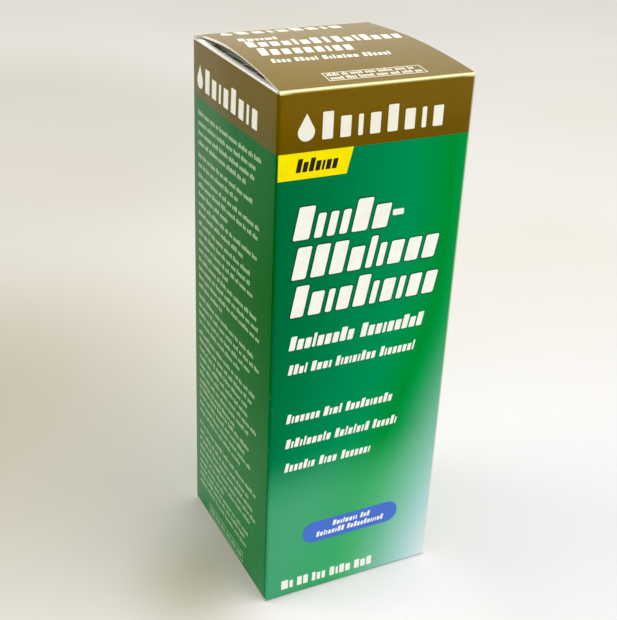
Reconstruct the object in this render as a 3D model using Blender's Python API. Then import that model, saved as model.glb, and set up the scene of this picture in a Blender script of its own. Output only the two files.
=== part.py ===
"""Boxed bottle of contact lens solution: a tuck-top folding carton that holds an oval squeeze
bottle with a screw cap, and a twin-well lens case.

Metres, +Z up. The origin is the centre of the underside; the carton's front panel faces -Y.
"""
import math

import bmesh
import bpy
from mathutils import Matrix, Vector

# ---------------------------------------------------------------- carton
CARTON_WIDTH = 0.0670        # along X, outside
CARTON_DEPTH = 0.0675        # along Y, outside
CARTON_HEIGHT = 0.1870       # to the crease of the lid, outside
BOARD = 0.0005               # thickness of the folding boxboard
GAP = 0.0003                 # air between faces that touch on the real carton
GLUE_FLAP_WIDTH = 0.0130
GLUE_FLAP_TAPER = 0.0040     # how far the glue flap's ends slope
LEFT_BOW = 0.0029            # how far the lid bulges up between its creases, at the left
RIGHT_BOW = 0.0019
LID_BACK_RISE = 0.0008       # the back crease of the lid, above the front one
LID_FRONT_INSET = 0.0003     # each side of the lid, in from the carton's, at the front crease
LID_BACK_INSET = 0.0026      # the same at the back crease
TUCK_DEPTH = 0.0150
TUCK_LEAN = math.radians(10.0)
TUCK_RADIUS = 0.0070
DUST_REACH = 0.0280          # length of a dust flap, from the side panel to its free edge
DUST_SLOPE = 1.7             # reach gained per unit of distance from the lid's crease
DUST_BACK_GAP = 0.0036       # the flap's back edge to the back panel's outer face
DUST_BACK_TAPER = 6.0        # reach of a dust flap per unit that its back edge slopes
BOTTOM_DUST_REACH = 0.0290

# ---------------------------------------------------------------- bottle
BOTTLE_HALF_WIDTH = 0.0322
BOTTLE_HALF_DEPTH = 0.0250
BOTTLE_SQUARENESS = 3.2      # exponent of the superellipse section
BOTTLE_WALL = 0.0010
BOTTLE_CENTRE_Y = -0.0076
SHOULDER_Z = 0.1310
NECK_BASE_Z = 0.1495
NECK_TOP_Z = 0.1625
NECK_RADIUS = 0.0109
NECK_BORE = 0.0090
FILL_Z = 0.1400
BOTTLE_SIDES = 48
THREAD_PITCH = 0.00318       # eight turns to the inch
THREAD_HEIGHT = 0.0010
THREAD_ROOT_WIDTH = 0.0013
THREAD_TIP_WIDTH = 0.0006
THREAD_SIDES = 32            # sections in a whole turn
THREAD_EMBED = 0.0003        # how far a ridge is sunk into its wall

# ---------------------------------------------------------------- cap, tip and band
CAP_RADIUS = 0.0142
CAP_BORE = 0.0123
CAP_BOTTOM_Z = 0.1515
CAP_TOP_Z = 0.1765
CAP_ROOF = 0.0015
CAP_RIBS = 40
CAP_RIB_DEPTH = 0.0004
TIP_TOP_Z = 0.1713
TIP_ORIFICE = 0.0008
SEAL_RADIUS = 0.0060
BAND_THICKNESS = 0.0003
BAND_BOTTOM_Z = 0.1500
BAND_TOP_Z = 0.1650

# ---------------------------------------------------------------- labels
LABEL_OFFSET = 0.00015
LABEL_THICKNESS = 0.00015
LABEL_BOTTOM_Z = 0.0180
LABEL_TOP_Z = 0.1220
LABEL_HALF_ANGLE = math.radians(50.0)

# ---------------------------------------------------------------- lens case
CASE_FRONT_Y = 0.0182        # the wells' closed ends
CASE_PLATE_Y = 0.0248        # front face of the plate that joins the wells
CASE_PLATE = 0.0014
CASE_RIM_Y = 0.0292          # open ends of the wells
CASE_BACK_Y = 0.0320         # outside of the caps
CASE_HALF_WIDTH = 0.0310
CASE_RADIUS = 0.0150         # round ends of the plate, and half its height
WELL_SPACING = 0.0320
WELL_RADIUS = 0.0115
WELL_WALL = 0.0012
LENS_CAP_RADIUS = 0.0143
LENS_CAP_WALL = 0.0012
LENS_CAP_RIBS = 32
LENS_CAP_RIB_DEPTH = 0.0004

HALF_W = CARTON_WIDTH / 2
HALF_D = CARTON_DEPTH / 2
INNER_X = HALF_W - BOARD
INNER_Y = HALF_D - BOARD
STEP = BOARD + GAP                           # one layer of board and the air under it
WALL_TOP = CARTON_HEIGHT - STEP              # front and back panels stop under the lid
DUST_TOP = CARTON_HEIGHT - STEP              # outer face of a closed dust flap
SIDE_TOP = DUST_TOP - STEP
WALL_BOTTOM = STEP                           # the panels stand on the outer bottom flap
FLOOR_Z = 3 * STEP                           # what the contents stand on
X, Y, Z = Vector((1, 0, 0)), Vector((0, 1, 0)), Vector((0, 0, 1))
LID_HINGE = Vector((0, -HALF_D, CARTON_HEIGHT))
LID_BACK = Vector((0, HALF_D - BOARD - 0.0005, CARTON_HEIGHT + LID_BACK_RISE))
BOTTLE_AXIS = Vector((0, BOTTLE_CENTRE_Y, 0))


def clear_scene():
    for obj in list(bpy.data.objects):
        bpy.data.objects.remove(obj, do_unlink=True)


def material(name, colour, roughness, metallic=0.0):
    """A plain Principled material."""
    mat = bpy.data.materials.new(name)
    mat.use_nodes = True
    shader = mat.node_tree.nodes["Principled BSDF"]
    shader.inputs["Base Color"].default_value = (*colour, 1.0)
    shader.inputs["Roughness"].default_value = roughness
    shader.inputs["Metallic"].default_value = metallic
    mat.diffuse_color = (*colour, 1.0)
    return mat


def add_object(name, bm, mat, pivot=(0, 0, 0), smooth=False):
    """Turn bm, drawn in world coordinates, into an object whose origin is at pivot."""
    bmesh.ops.recalc_face_normals(bm, faces=bm.faces)
    mesh = bpy.data.meshes.new(name)
    bm.to_mesh(mesh)
    bm.free()
    mesh.transform(Matrix.Translation(-Vector(pivot)))
    if smooth:
        mesh.shade_smooth()
        mesh.set_sharp_from_angle(angle=math.radians(35.0))
    mesh.materials.append(mat)
    obj = bpy.data.objects.new(name, mesh)
    obj.location = pivot
    bpy.context.scene.collection.objects.link(obj)
    return obj


def hide_cutter(obj):
    obj.hide_render = True
    obj.display_type = "WIRE"


def add_boolean(obj, other, operation):
    modifier = obj.modifiers.new(operation.title(), "BOOLEAN")
    modifier.operation = operation
    modifier.object = other
    modifier.solver = "EXACT"
    hide_cutter(other)


def board_piece(name, outline, origin, u, v, mat, pivot=(0, 0, 0)):
    """A flat piece of board: outline in the u, v plane through origin, thick behind u x v."""
    normal = Vector(u).cross(Vector(v)).normalized()
    bm = bmesh.new()
    front = [bm.verts.new(Vector(origin) + a * Vector(u) + b * Vector(v)) for a, b in outline]
    back = [bm.verts.new(vert.co - BOARD * normal) for vert in front]
    bm.faces.new(front)
    bm.faces.new(list(reversed(back)))
    for i, vert in enumerate(front):
        j = (i + 1) % len(front)
        bm.faces.new((vert, back[i], back[j], front[j]))
    return add_object(name, bm, mat, pivot)


def rectangle(low_u, low_v, high_u, high_v):
    return [(low_u, low_v), (high_u, low_v), (high_u, high_v), (low_u, high_v)]


def loft(loops, ring=False):
    """Join closed loops of equally many points; close the ends, or join last to first."""
    bm = bmesh.new()
    rows = [[bm.verts.new(point) for point in loop] for loop in loops]
    pairs = list(zip(rows, rows[1:]))
    if ring:
        pairs.append((rows[-1], rows[0]))
    else:
        bm.faces.new(list(reversed(rows[0])))
        bm.faces.new(rows[-1])
    for lower, upper in pairs:
        for i in range(len(lower)):
            j = (i + 1) % len(lower)
            bm.faces.new((lower[i], lower[j], upper[j], upper[i]))
    return bm


def section(half_width, half_depth, exponent, z, centre=BOTTLE_AXIS, sides=BOTTLE_SIDES):
    """A superellipse at height z, as points at equal angles."""
    points = []
    for i in range(sides):
        angle = 2 * math.pi * i / sides
        reach = (
            abs(math.cos(angle) / half_width) ** exponent
            + abs(math.sin(angle) / half_depth) ** exponent
        ) ** (-1 / exponent)
        points.append(centre + reach * (math.cos(angle) * X + math.sin(angle) * Y) + z * Z)
    return points


def circle(radius, level, centre, u, v, sides, ribs_depth=0.0):
    """A circle in the u, v plane, at level along u x v; every other point sinks for ribs."""
    normal = Vector(u).cross(Vector(v))
    points = []
    for i in range(sides):
        angle = 2 * math.pi * i / sides
        reach = radius - ribs_depth * (i % 2)
        points.append(
            Vector(centre) + reach * (math.cos(angle) * u + math.sin(angle) * v) + level * normal
        )
    return points


def turned(profile, centre, u, v, sides, ring=False, ribs_depth=0.0):
    """Turn (radius, level, ribbed) points about u x v through centre."""
    loops = [
        circle(radius, level, centre, u, v, sides, ribs_depth if ribbed else 0.0)
        for radius, level, ribbed in profile
    ]
    return loft(loops, ring)


# ---------------------------------------------------------------- carton pieces
def make_panels(printed):
    """The four walls, each set back from its neighbours at the creases."""
    side_half = HALF_D - STEP
    board_piece(
        "front_panel", rectangle(-HALF_W, WALL_BOTTOM, HALF_W, WALL_TOP),
        (0, -HALF_D, 0), X, Z, printed,
    )
    board_piece(
        "back_panel", rectangle(-HALF_W, WALL_BOTTOM, HALF_W, WALL_TOP),
        (0, HALF_D, 0), -X, Z, printed,
    )
    board_piece(
        "right_panel", rectangle(-side_half, WALL_BOTTOM, side_half, SIDE_TOP),
        (HALF_W, 0, 0), Y, Z, printed,
    )
    board_piece(
        "left_panel", rectangle(-side_half, WALL_BOTTOM, side_half, SIDE_TOP),
        (-HALF_W, 0, 0), -Y, Z, printed,
    )


def make_glue_flap(plain):
    """The strip on the left panel's back edge, glued inside the back panel."""
    low, high = FLOOR_Z + GAP, SIDE_TOP - TUCK_DEPTH - 2 * STEP
    near = -INNER_X + GAP
    far = near + GLUE_FLAP_WIDTH
    outline = [
        (-near, low), (-near, high), (-far, high - GLUE_FLAP_TAPER), (-far, low + GLUE_FLAP_TAPER),
    ]
    board_piece("glue_flap", outline, (0, INNER_Y - GAP, 0), -X, Z, plain)


def make_bottom_flaps(printed, plain):
    """Two dust flaps, then the inner and the outer flap, glued as one floor."""
    clear_x, clear_y = HALF_W - GAP, HALF_D - STEP
    board_piece(
        "bottom_outer_flap", rectangle(-clear_x, -HALF_D, clear_x, HALF_D - GAP),
        (0, 0, 0), X, -Y, printed,
    )
    board_piece(
        "bottom_inner_flap", rectangle(-INNER_X + GAP, -clear_y, INNER_X - GAP, clear_y),
        (0, 0, STEP), X, -Y, plain,
    )
    for side, name in ((-1, "left"), (1, "right")):
        outer, inner = side * (INNER_X - GAP), side * (INNER_X - BOTTOM_DUST_REACH)
        low, high = sorted((outer, inner))
        board_piece(
            f"bottom_dust_flap_{name}", rectangle(low, -clear_y, high, clear_y),
            (0, 0, 2 * STEP), X, -Y, plain,
        )


def lid_height(x, t):
    """Rise of the lid's outer face above the front crease; t runs 0 to 1, front to back."""
    share = 0.5 - x / CARTON_WIDTH
    bow = RIGHT_BOW + (LEFT_BOW - RIGHT_BOW) * share
    return bow * math.sin(math.pi * t) ** 0.9 + LID_BACK_RISE * t


def make_lid(printed):
    """The lid: one sheet, creased to the front panel, bowed up between its creases."""
    across, along = 4, 20
    depth = LID_BACK.y - LID_HINGE.y
    bm = bmesh.new()
    grid = {}
    for side, drop in (("top", 0.0), ("under", BOARD)):
        for i in range(across + 1):
            for j in range(along + 1):
                t = j / along
                half = HALF_W - LID_FRONT_INSET - (LID_BACK_INSET - LID_FRONT_INSET) * t
                x = -half + 2 * half * i / across
                z = CARTON_HEIGHT + lid_height(x, t) - drop
                grid[side, i, j] = bm.verts.new((x, LID_HINGE.y + depth * t, z))
    for i in range(across):
        for j in range(along):
            corners = ((i, j), (i + 1, j), (i + 1, j + 1), (i, j + 1))
            bm.faces.new([grid["top", a, b] for a, b in corners])
            bm.faces.new([grid["under", a, b] for a, b in reversed(corners)])
    rim = [(i, 0) for i in range(across)] + [(across, j) for j in range(along)]
    rim += [(i, along) for i in range(across, 0, -1)] + [(0, j) for j in range(along, 0, -1)]
    for (a, b), (c, d) in zip(rim, rim[1:] + rim[:1]):
        bm.faces.new((grid["top", a, b], grid["under", a, b], grid["under", c, d], grid["top", c, d]))
    add_object("lid_panel", bm, printed, LID_HINGE)


def make_tuck_flap(printed):
    """The lid's tongue, inside the back panel, leaning in, with round free corners."""
    half = HALF_W - LID_BACK_INSET - GAP
    down = Vector((0, -math.sin(TUCK_LEAN), -math.cos(TUCK_LEAN)))
    start = LID_BACK - BOARD * Y + (BOARD + GAP) * down
    outline = [(half, 0.0), (-half, 0.0)]
    for centre_x, first in ((-half + TUCK_RADIUS, 180.0), (half - TUCK_RADIUS, 90.0)):
        for i in range(7):
            angle = math.radians(first - 15.0 * i)
            outline.append((
                centre_x + TUCK_RADIUS * math.cos(angle),
                TUCK_DEPTH - TUCK_RADIUS + TUCK_RADIUS * math.sin(angle),
            ))
    board_piece("tuck_flap", outline, start + BOARD * Y, X, down, printed, LID_BACK)


def make_dust_flaps(plain):
    """Side flaps under the lid; their front edges slope away from the lid's crease."""
    front = -HALF_D + STEP
    back = HALF_D - DUST_BACK_GAP
    slope_end = front + DUST_REACH / DUST_SLOPE
    for side, name in ((-1, "left"), (1, "right")):
        outline = [
            (0.0, front), (DUST_REACH, slope_end),
            (DUST_REACH, back - DUST_REACH / DUST_BACK_TAPER), (0.0, back),
        ]
        hinge = Vector((side * HALF_W, 0, DUST_TOP))
        flipped = outline if side < 0 else [(-reach, y) for reach, y in reversed(outline)]
        board_piece(f"dust_flap_{name}", flipped, hinge, X, Y, plain, hinge)


# ---------------------------------------------------------------- bottle pieces
def shoulder_sections(wall):
    """Sections from the straight body in to the neck, for the skin or, with a wall, the inside."""
    steps = 7
    loops = []
    for i in range(1, steps):
        t = i / steps
        z = SHOULDER_Z + (NECK_BASE_Z - SHOULDER_Z) * t
        keep = math.sqrt(1 - t ** 2.2)
        inner = NECK_RADIUS - wall
        loops.append(section(
            inner + (BOTTLE_HALF_WIDTH - NECK_RADIUS) * keep,
            inner + (BOTTLE_HALF_DEPTH - NECK_RADIUS) * keep,
            2.0 + (BOTTLE_SQUARENESS - 2.0) * (1 - t), z - wall,
        ))
    return loops


def body_section(inset, z):
    return section(
        BOTTLE_HALF_WIDTH - inset, BOTTLE_HALF_DEPTH - inset, BOTTLE_SQUARENESS, z
    )


def helix_ridge(name, wall_radius, crest_radius, low_z, turns, mat):
    """A tapered-end thread ridge, its root sunk into the wall at wall_radius."""
    outward = 1 if crest_radius > wall_radius else -1
    root = wall_radius - outward * THREAD_EMBED
    count = int(turns * THREAD_SIDES)
    bm = bmesh.new()
    rows = []
    for i in range(count + 1):
        angle = 2 * math.pi * i / THREAD_SIDES
        middle = low_z + THREAD_PITCH * i / THREAD_SIDES
        fade = min(1.0, 0.25 + min(i, count - i) / 4)
        crest = wall_radius + (crest_radius - wall_radius) * fade
        radial = math.cos(angle) * X + math.sin(angle) * Y
        row = []
        for radius, offset in (
            (root, -THREAD_ROOT_WIDTH / 2), (crest, -THREAD_TIP_WIDTH / 2),
            (crest, THREAD_TIP_WIDTH / 2), (root, THREAD_ROOT_WIDTH / 2),
        ):
            row.append(bm.verts.new(BOTTLE_AXIS + radius * radial + (middle + offset) * Z))
        rows.append(row)
    bm.faces.new(rows[0])
    bm.faces.new(list(reversed(rows[-1])))
    for lower, upper in zip(rows, rows[1:]):
        for i in range(4):
            j = (i + 1) % 4
            bm.faces.new((lower[i], upper[i], upper[j], lower[j]))
    return add_object(name, bm, mat)


def make_bottle(plastic):
    """The blow-moulded bottle: base with a push-up, oval body, shoulder and threaded neck."""
    base = FLOOR_Z
    outside = [
        body_section(0.0110, base + 0.0020), body_section(0.0038, base),
        body_section(0.0020, base), body_section(0.0006, base + 0.0010),
        body_section(0.0, base + 0.0034), body_section(0.0, SHOULDER_Z),
    ]
    outside += shoulder_sections(0.0)
    outside += [
        section(NECK_RADIUS, NECK_RADIUS, 2.0, NECK_BASE_Z),
        section(NECK_RADIUS, NECK_RADIUS, 2.0, NECK_TOP_Z),
    ]
    inside = [
        section(NECK_BORE, NECK_BORE, 2.0, NECK_TOP_Z),
        section(NECK_BORE, NECK_BORE, 2.0, NECK_BASE_Z - BOTTLE_WALL),
    ]
    inside += list(reversed(shoulder_sections(BOTTLE_WALL)))
    inside += [
        body_section(BOTTLE_WALL, SHOULDER_Z), body_section(BOTTLE_WALL, base + 0.0044),
        body_section(0.0040, base + 0.0030), body_section(0.0110, base + 0.0030),
    ]
    bottle = add_object("bottle_body", loft(outside + inside), plastic, BOTTLE_AXIS, smooth=True)
    ridge = helix_ridge(
        "neck_thread_form", NECK_RADIUS, NECK_RADIUS + THREAD_HEIGHT, NECK_TOP_Z - 0.0068, 1.5, plastic,
    )
    add_boolean(bottle, ridge, "UNION")


def make_solution(liquid):
    """The liquid fill, clear of the bottle's wall all round."""
    inset = BOTTLE_WALL + GAP
    loops = [
        body_section(0.0110 + GAP, FLOOR_Z + 0.0034), body_section(0.0050, FLOOR_Z + 0.0034),
        body_section(inset, FLOOR_Z + 0.0052), body_section(inset, SHOULDER_Z - GAP),
    ]
    loops += [
        loop for loop in shoulder_sections(inset) if loop[0].z < FILL_Z
    ]
    add_object("lens_solution", loft(loops), liquid, BOTTLE_AXIS, smooth=True)


def make_tip(plastic):
    """The dispensing plug: a skirt in the neck, a flange on its rim, and a nozzle."""
    flange = NECK_TOP_Z + GAP
    plug = NECK_BORE - GAP
    profile = [
        (TIP_ORIFICE, TIP_TOP_Z), (0.0022, TIP_TOP_Z), (0.0026, TIP_TOP_Z - 0.0006),
        (0.0042, flange + 0.0016), (0.0101, flange + 0.0012), (0.0103, flange),
        (plug, flange), (plug, flange - 0.0080), (plug - 0.0010, flange - 0.0080),
        (plug - 0.0012, flange - 0.0004), (0.0028, flange), (TIP_ORIFICE, TIP_TOP_Z - 0.0040),
    ]
    shape = [(radius, level, False) for radius, level in profile]
    tip = turned(shape, BOTTLE_AXIS, X, Y, 32, ring=True)
    add_object("dispensing_tip", tip, plastic, BOTTLE_AXIS, smooth=True)


def make_cap(plastic, foam):
    """The ribbed screw cap, with its thread, and the soft seal under its roof."""
    roof = CAP_TOP_Z - CAP_ROOF
    profile = [
        (0.0070, roof, False), (0.0080, roof - 0.0010, False), (0.0090, NECK_TOP_Z + 0.0045, False),
        (CAP_BORE, NECK_TOP_Z + 0.0030, False), (CAP_BORE, CAP_BOTTOM_Z, False),
        (CAP_RADIUS - CAP_RIB_DEPTH, CAP_BOTTOM_Z, False),
        (CAP_RADIUS - CAP_RIB_DEPTH, CAP_BOTTOM_Z + 0.0015, False),
        (CAP_RADIUS, CAP_BOTTOM_Z + 0.0020, True), (CAP_RADIUS - 0.0008, CAP_TOP_Z - 0.0030, True),
        (CAP_RADIUS - 0.0018, CAP_TOP_Z - 0.0020, False),
        (CAP_RADIUS - 0.0034, CAP_TOP_Z, False), (0.0080, CAP_TOP_Z, False),
    ]
    shape = turned(profile, BOTTLE_AXIS, X, Y, 2 * CAP_RIBS, ribs_depth=CAP_RIB_DEPTH)
    cap = add_object("screw_cap", shape, plastic, BOTTLE_AXIS, smooth=True)
    ridge = helix_ridge(
        "cap_thread_form", CAP_BORE, NECK_RADIUS + GAP,
        NECK_TOP_Z - 0.0068 - THREAD_PITCH / 2, 1.25, plastic,
    )
    add_boolean(cap, ridge, "UNION")
    seal_low, seal_high = TIP_TOP_Z + GAP, roof - GAP
    seal = turned(
        [(SEAL_RADIUS - 0.0004, seal_low, False), (SEAL_RADIUS, seal_low + 0.0004, False),
         (SEAL_RADIUS, seal_high, False)],
        BOTTLE_AXIS, X, Y, 32,
    )
    add_object("cap_seal", seal, foam, BOTTLE_AXIS, smooth=True)


def make_neck_band(film):
    """The shrink band round the foot of the cap."""
    inner = CAP_RADIUS + GAP
    outer = inner + BAND_THICKNESS
    profile = [(inner, BAND_BOTTOM_Z), (outer, BAND_BOTTOM_Z), (outer, BAND_TOP_Z), (inner, BAND_TOP_Z)]
    shape = [(radius, level, False) for radius, level in profile]
    add_object("neck_band", turned(shape, BOTTLE_AXIS, X, Y, 48, ring=True), film, BOTTLE_AXIS, smooth=True)


def make_labels(paper):
    """A curved label on the front and one on the back of the bottle."""
    columns = 16
    for middle, name in ((-math.pi / 2, "front_label"), (math.pi / 2, "back_label")):
        loops = []
        for offset, z in (
            (LABEL_OFFSET, LABEL_BOTTOM_Z), (LABEL_OFFSET, LABEL_TOP_Z),
            (LABEL_OFFSET + LABEL_THICKNESS, LABEL_TOP_Z),
            (LABEL_OFFSET + LABEL_THICKNESS, LABEL_BOTTOM_Z),
        ):
            loop = []
            for i in range(columns + 1):
                angle = middle + LABEL_HALF_ANGLE * (2 * i / columns - 1)
                reach = (
                    abs(math.cos(angle) / (BOTTLE_HALF_WIDTH + offset)) ** BOTTLE_SQUARENESS
                    + abs(math.sin(angle) / (BOTTLE_HALF_DEPTH + offset)) ** BOTTLE_SQUARENESS
                ) ** (-1 / BOTTLE_SQUARENESS)
                loop.append(BOTTLE_AXIS + reach * (math.cos(angle) * X + math.sin(angle) * Y) + z * Z)
            loops.append(loop)
        stations = [[loop[i] for loop in loops] for i in range(columns + 1)]
        add_object(name, loft(stations), paper, BOTTLE_AXIS, smooth=True)


# ---------------------------------------------------------------- lens case pieces
def well_centre(side):
    return Vector((side * WELL_SPACING / 2, 0, FLOOR_Z + CASE_RADIUS))


def make_case_base(plastic):
    """The plate with round ends and its two wells, open towards +Y."""
    outline = []
    for side in (1, -1):
        for i in range(13):
            angle = math.radians(-90 + 15 * i) if side > 0 else math.radians(90 + 15 * i)
            outline.append((
                side * (CASE_HALF_WIDTH - CASE_RADIUS) + CASE_RADIUS * math.cos(angle),
                FLOOR_Z + CASE_RADIUS + CASE_RADIUS * math.sin(angle),
            ))
    plate = loft([
        [Vector((x, y, z)) for x, z in outline] for y in (CASE_PLATE_Y, CASE_PLATE_Y + CASE_PLATE)
    ])
    base = add_object("lens_case_base", plate, plastic)
    for side, name in ((-1, "left"), (1, "right")):
        centre = well_centre(side)
        cup = turned(
            [(WELL_RADIUS - 0.0015, CASE_FRONT_Y, False), (WELL_RADIUS, CASE_FRONT_Y + 0.0015, False),
             (WELL_RADIUS, CASE_RIM_Y, False)],
            centre, Z, X, 36,
        )
        hollow_radius = WELL_RADIUS - WELL_WALL
        hollow = turned(
            [(hollow_radius - 0.0030, CASE_FRONT_Y + WELL_WALL, False),
             (hollow_radius, CASE_FRONT_Y + WELL_WALL + 0.0030, False),
             (hollow_radius, CASE_RIM_Y + 0.0010, False)],
            centre, Z, X, 36,
        )
        add_boolean(base, add_object(f"well_form_{name}", cup, plastic), "UNION")
        add_boolean(base, add_object(f"well_hollow_{name}", hollow, plastic), "DIFFERENCE")


def make_lens_caps(white, green):
    """Two shallow ribbed caps, one colour for each eye."""
    low = CASE_PLATE_Y + CASE_PLATE + GAP
    roof = CASE_BACK_Y - LENS_CAP_WALL
    bore = LENS_CAP_RADIUS - LENS_CAP_WALL - LENS_CAP_RIB_DEPTH
    profile = [
        (bore - 0.0010, roof, False), (bore, roof - 0.0010, False), (bore, low, False),
        (LENS_CAP_RADIUS - LENS_CAP_RIB_DEPTH, low, False),
        (LENS_CAP_RADIUS, low + 0.0008, True), (LENS_CAP_RADIUS, CASE_BACK_Y - 0.0014, True),
        (LENS_CAP_RADIUS - 0.0014, CASE_BACK_Y, False), (0.0070, CASE_BACK_Y, False),
    ]
    for side, name, mat in ((-1, "left", white), (1, "right", green)):
        centre = well_centre(side)
        shape = turned(profile, centre, Z, X, 2 * LENS_CAP_RIBS, ribs_depth=LENS_CAP_RIB_DEPTH)
        add_object(f"lens_cap_{name}", shape, mat, centre, smooth=True)


def main():
    clear_scene()
    printed_green = material("printed_board_green", (0.02, 0.25, 0.08), 0.3)
    printed_gold = material("printed_board_gold", (0.22, 0.15, 0.03), 0.3)
    plain_board = material("plain_board", (0.85, 0.85, 0.82), 0.8)
    bottle_plastic = material("bottle_white", (0.88, 0.89, 0.88), 0.4)
    cap_plastic = material("cap_white", (0.90, 0.90, 0.90), 0.35)
    cap_green = material("cap_green", (0.03, 0.30, 0.14), 0.35)
    tip_plastic = material("tip_natural", (0.82, 0.84, 0.84), 0.45)
    foam = material("seal_foam", (0.80, 0.80, 0.78), 0.8)
    film = material("band_film", (0.75, 0.80, 0.76), 0.2)
    label_paper = material("label_paper", (0.03, 0.28, 0.12), 0.45)
    liquid = material("solution", (0.80, 0.90, 0.95), 0.05)

    make_panels(printed_green)
    make_glue_flap(plain_board)
    make_bottom_flaps(printed_green, plain_board)
    make_lid(printed_gold)
    make_tuck_flap(printed_gold)
    make_dust_flaps(plain_board)
    make_bottle(bottle_plastic)
    make_solution(liquid)
    make_tip(tip_plastic)
    make_cap(cap_plastic, foam)
    make_neck_band(film)
    make_labels(label_paper)
    make_case_base(bottle_plastic)
    make_lens_caps(cap_plastic, cap_green)


main()
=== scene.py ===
"""Looks of a boxed contact lens solution bottle: a printed folding carton with its contents.

The carton's walls, lid and flaps are coated board with rounded creases, white cut edges and a
plain inside. The print is thin ink plates; words are rows of plain blocks, with no lettering.
"""
import math
import random
from functools import partial

import bmesh
import bpy
from mathutils import Matrix, Vector


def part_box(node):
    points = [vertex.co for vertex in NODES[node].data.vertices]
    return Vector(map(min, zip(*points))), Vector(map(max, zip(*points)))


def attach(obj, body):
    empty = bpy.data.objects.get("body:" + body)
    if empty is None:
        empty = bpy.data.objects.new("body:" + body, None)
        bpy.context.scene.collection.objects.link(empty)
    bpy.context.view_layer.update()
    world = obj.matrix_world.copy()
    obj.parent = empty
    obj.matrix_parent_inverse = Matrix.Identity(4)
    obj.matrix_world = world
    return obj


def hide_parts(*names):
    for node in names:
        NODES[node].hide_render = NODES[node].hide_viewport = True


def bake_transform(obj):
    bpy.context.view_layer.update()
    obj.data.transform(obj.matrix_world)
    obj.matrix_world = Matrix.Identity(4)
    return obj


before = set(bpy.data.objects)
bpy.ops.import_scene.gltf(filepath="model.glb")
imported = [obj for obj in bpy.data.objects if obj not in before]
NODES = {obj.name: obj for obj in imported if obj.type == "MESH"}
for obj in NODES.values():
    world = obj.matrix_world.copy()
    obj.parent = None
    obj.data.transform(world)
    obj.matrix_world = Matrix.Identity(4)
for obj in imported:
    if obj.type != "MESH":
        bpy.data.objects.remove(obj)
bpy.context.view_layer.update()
MM = 0.001
RIGHT, BACK, UP = Vector((1, 0, 0)), Vector((0, 1, 0)), Vector((0, 0, 1))

# ---- sizes, from the frame
FRONT_LOW, FRONT_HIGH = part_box("front_panel")
HALF_W = FRONT_HIGH.x
HALF_D = -FRONT_LOW.y
CORNER = HALF_W + HALF_D
BOARD = FRONT_HIGH.y - FRONT_LOW.y
CREASE_Z = FRONT_HIGH.z + 0.8 * MM  # the lid's front crease
DUST_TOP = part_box("dust_flap_left")[1].z
LID_LOW, LID_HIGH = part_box("lid_panel")
WALL_BOTTOM = FRONT_LOW.z
LID_LENGTH = LID_HIGH.y - LID_LOW.y

CREASE_RADIUS = 1.0 * MM
SIDE_BOW = 0.9 * MM  # how far the side walls belly out
FRONT_BOW = 0.15 * MM
LID_LEFT_BOW, LID_RIGHT_BOW = 2.9 * MM, 1.9 * MM
LID_BACK_RISE = 0.8 * MM
LID_DROOP, LID_DROOP_WIDTH = 0.7 * MM, 2.5 * MM  # the lid's left edge turns down a little
LID_FRONT_INSET, LID_BACK_INSET = 0.52 * MM, 2.6 * MM  # the lid is narrower than the carton
DUST_CREASE_RADIUS = 0.5 * MM
DUST_RISE = 0.75 * MM  # the dust flaps' creases stand above their flat part
DUST_FALL = 5.0 * MM  # how far in from the crease that rise dies out
DUST_FRONT_CLEAR = 3.2 * MM  # the flap's front corner, back from the front wall
DUST_CREASE_CLEAR = 1.3 * MM  # and its crease's front end
DUST_FRONT_SLOPE, DUST_BACK_SLOPE = 1.7, 6.0  # reach inwards for one unit along, at its ends
BACK_TOP = CREASE_Z + 0.6 * MM  # the back wall's cut top edge
TUCK_LEAN = math.radians(10.0)
TUCK_DEPTH, TUCK_RADIUS = 15.0 * MM, 7.0 * MM
TUCK_BLEED_Z = 183.6 * MM  # the gold ends here on the tuck flap
BAND_Z = 168.2 * MM  # lower edge of the gold band
LABEL_BAND_Z = 108.0 * MM  # and on the bottle's labels
INK_PROUD, INK_SUNK = 0.03 * MM, 0.05 * MM
INK_OVER = 0.03 * MM  # ink on ink lies this much higher
OUTLINE_SUNK = 0.012 * MM  # the title's dark outline, behind its letters
ITALIC = math.tan(math.radians(11.0))


# ---- colours and materials
def srgb(red, green, blue):
    """A colour given in 0 to 255 display values, as linear RGBA."""
    def linear(value):
        value /= 255.0
        return value / 12.92 if value <= 0.04045 else ((value + 0.055) / 1.055) ** 2.4
    return (linear(red), linear(green), linear(blue), 1.0)


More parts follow.
